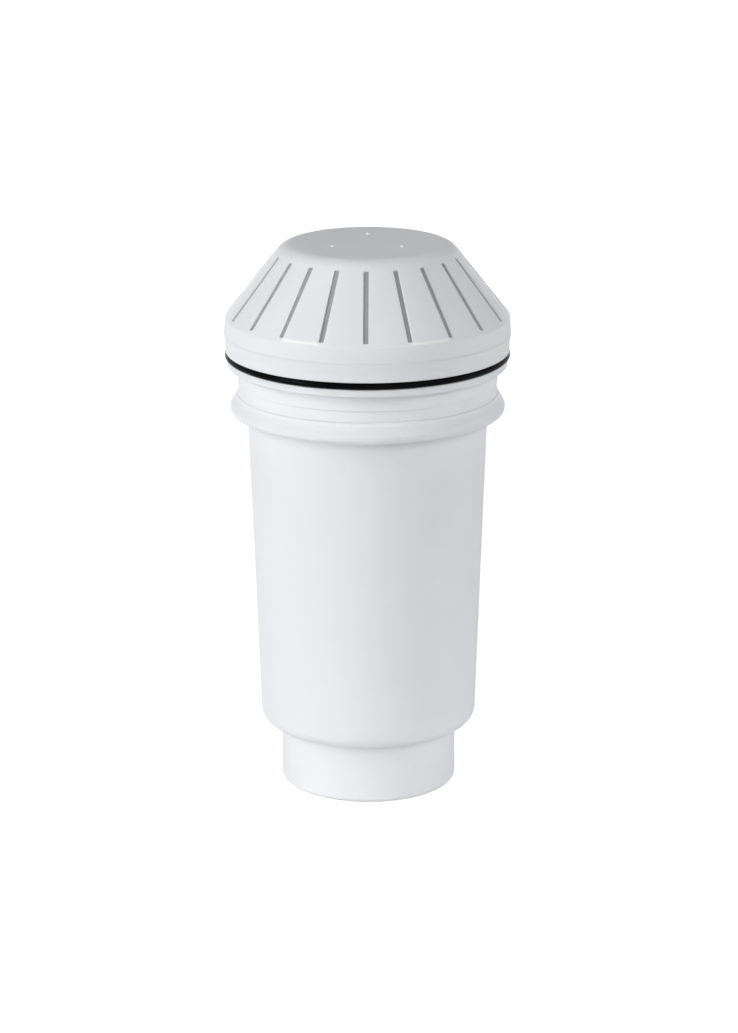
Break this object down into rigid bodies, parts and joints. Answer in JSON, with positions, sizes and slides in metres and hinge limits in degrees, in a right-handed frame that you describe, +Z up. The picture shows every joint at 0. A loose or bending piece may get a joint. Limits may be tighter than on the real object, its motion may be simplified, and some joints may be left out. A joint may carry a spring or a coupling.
{
  "type": "water pitcher filter cartridge",
  "caption": "Round water pitcher filter cartridge: a tapered body on a narrow foot, a flanged neck with a sealing ring in its groove, and a slotted conical inlet cap.",
  "frame": {"origin": "centre of the underside of the foot, which the cartridge stands on", "axes": "+Z up along the cartridge's axis from the foot to the cap; -Y towards the slot that faces the camera"},
  "size_m": [0.0704, 0.0704, 0.1374],
  "materials": {
    "white_plastic": "satin moulded white",
    "black_rubber": "smooth black",
    "pressed_carbon": "pressed granules, matt black",
    "nonwoven_felt": "white nonwoven",
    "open_foam": "open-cell foam",
    "softening_resin": "amber beads",
    "screen_cloth": "fine woven mesh"
  },
  "bodies": {
    "root": {"housing": "white_plastic", "cap": "white_plastic", "cap_lining": "screen_cloth", "o_ring": "black_rubber", "screen_frame": "white_plastic", "inlet_screen": "screen_cloth", "foam_pad": "open_foam", "top_end_cap": "white_plastic", "carbon_block": "pressed_carbon", "block_wrap": "nonwoven_felt", "bottom_end_cap": "white_plastic", "seat_gasket": "black_rubber", "upper_felt": "nonwoven_felt", "resin_bed": "softening_resin", "lower_felt": "nonwoven_felt", "outlet_screen": "screen_cloth"}
  },
  "joints": []
}
